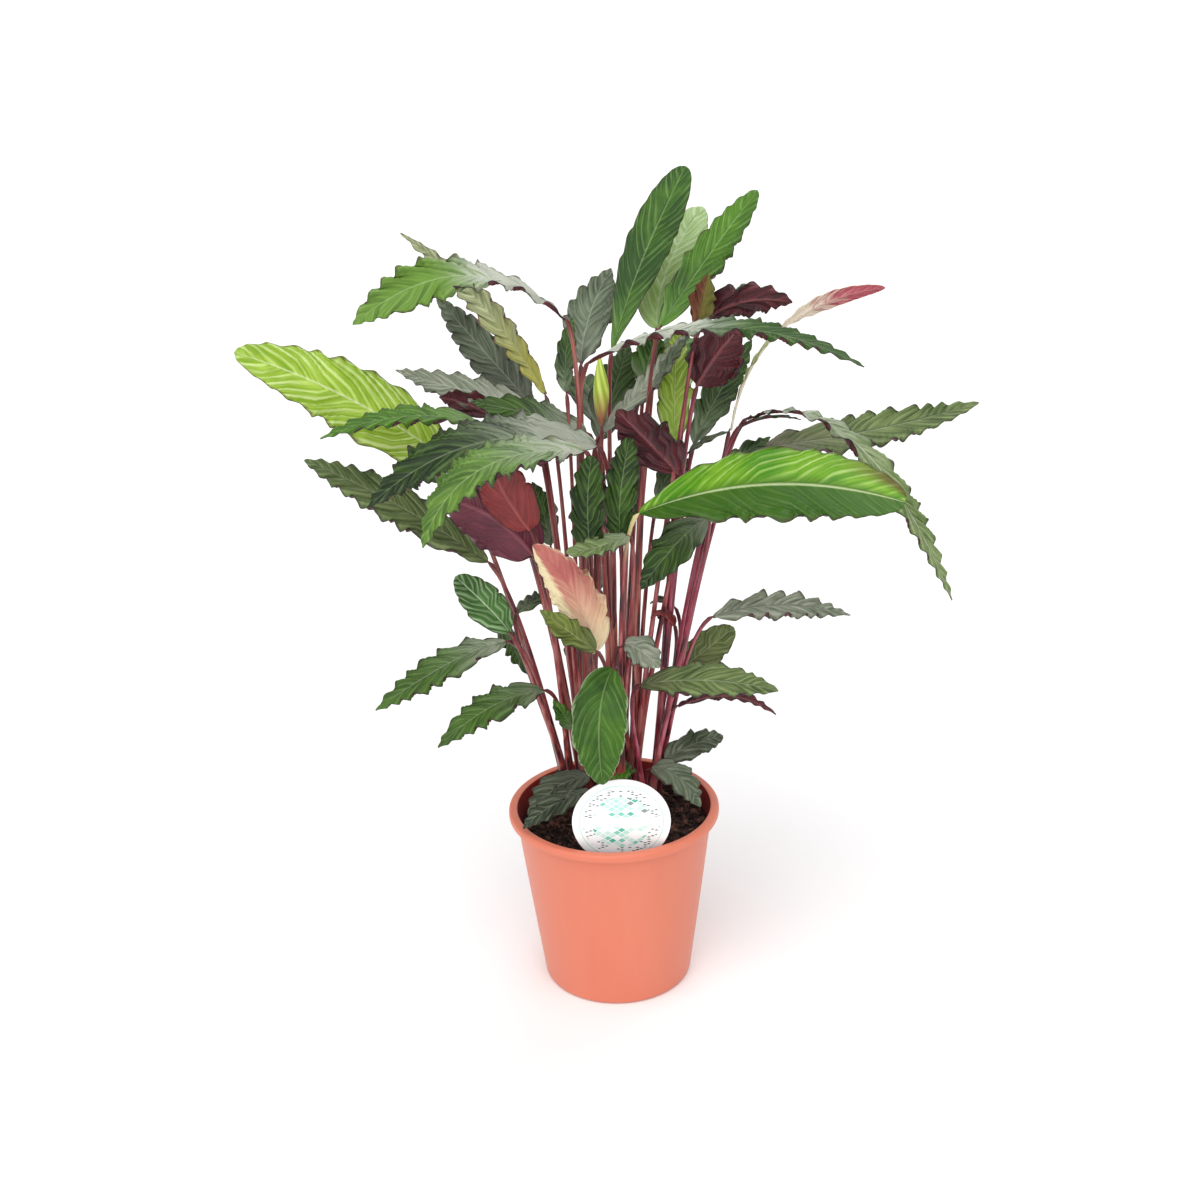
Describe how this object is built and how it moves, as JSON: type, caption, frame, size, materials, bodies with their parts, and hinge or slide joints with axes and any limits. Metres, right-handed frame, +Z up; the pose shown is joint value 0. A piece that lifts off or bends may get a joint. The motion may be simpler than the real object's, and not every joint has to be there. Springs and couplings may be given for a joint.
{
  "type": "potted velvet calathea",
  "caption": "Potted prayer plant: long wavy green leaves, maroon beneath, on burgundy stalks, in a terracotta-coloured plastic nursery pot with a round white plant label.",
  "frame": {"origin": "centre of the pot's flat base, on the surface that the pot stands on", "axes": "+Z up the plant, -Y towards the side that the plant label faces, +X to the right of that side"},
  "size_m": [0.5548, 0.3738, 0.6359],
  "materials": {
    "pot_plastic": "satin",
    "potting_mix": "matte",
    "root_crown": "matte",
    "label_plastic": "satin",
    "stalk": "satin",
    "leaf_dark_green": "matte",
    "leaf_mid_green": "matte",
    "leaf_lime_green": "matte",
    "leaf_olive_green": "matte",
    "leaf_grey_green": "matte",
    "leaf_pink": "matte"
  },
  "bodies": {
    "root": {"nursery_pot": "pot_plastic", "potting_mix": "potting_mix", "root_crown": "root_crown", "plant_label": "label_plastic", "shoot_left": "stalk", "shoot_left_inner": "stalk", "shoot_centre_left": "stalk", "shoot_centre_front": "stalk", "shoot_centre": "stalk", "shoot_centre_rear": "stalk", "shoot_right": "stalk", "shoot_right_front": "stalk", "leaf_long_low_left": "leaf_dark_green", "leaf_striped_left": "leaf_mid_green", "leaf_low_left": "leaf_dark_green", "leaf_lowest_left": "leaf_dark_green", "leaf_behind_left": "leaf_dark_green", "leaf_lime_left": "leaf_lime_green", "leaf_curled_left": "leaf_grey_green", "leaf_thin_left": "leaf_dark_green", "leaf_maroon_left": "leaf_dark_green", "leaf_upper_rear_left": "leaf_dark_green", "leaf_arching_left": "leaf_mid_green", "leaf_arching_right": "leaf_dark_green", "leaf_high_left": "leaf_olive_green", "leaf_upper_left": "leaf_dark_green", "leaf_inner_grey": "leaf_grey_green", "leaf_front_left": "leaf_mid_green", "leaf_big_left": "leaf_dark_green", "leaf_pink_front": "leaf_pink", "leaf_hanging_front": "leaf_mid_green", "leaf_olive_front": "leaf_olive_green", "leaf_soil_left": "leaf_grey_green", "leaf_big_right": "leaf_lime_green", "leaf_inner_front": "leaf_dark_green", "leaf_inner_front_right": "leaf_dark_green", "leaf_inner_upper": "leaf_dark_green", "leaf_maroon_centre": "leaf_dark_green", "leaf_yellow_centre": "leaf_lime_green", "leaf_top": "leaf_mid_green", "leaf_top_rear": "leaf_mid_green", "leaf_top_right": "leaf_mid_green", "leaf_narrow_rear": "leaf_grey_green", "leaf_rear_high_left": "leaf_dark_green", "leaf_rear_high_right": "leaf_mid_green", "leaf_rear_low": "leaf_dark_green", "leaf_maroon_right": "leaf_dark_green", "leaf_maroon_top_right": "leaf_dark_green", "leaf_inner_right": "leaf_dark_green", "leaf_cream_right": "leaf_pink", "leaf_drooping_right": "leaf_mid_green", "leaf_far_right": "leaf_dark_green", "leaf_mid_right": "leaf_mid_green", "leaf_rear_right": "leaf_dark_green", "leaf_hanging_right": "leaf_dark_green", "leaf_small_right": "leaf_dark_green", "leaf_low_right": "leaf_mid_green", "leaf_lowest_right": "leaf_grey_green", "leaf_soil_right": "leaf_grey_green", "leaf_rear_left": "leaf_dark_green"}
  },
  "joints": []
}
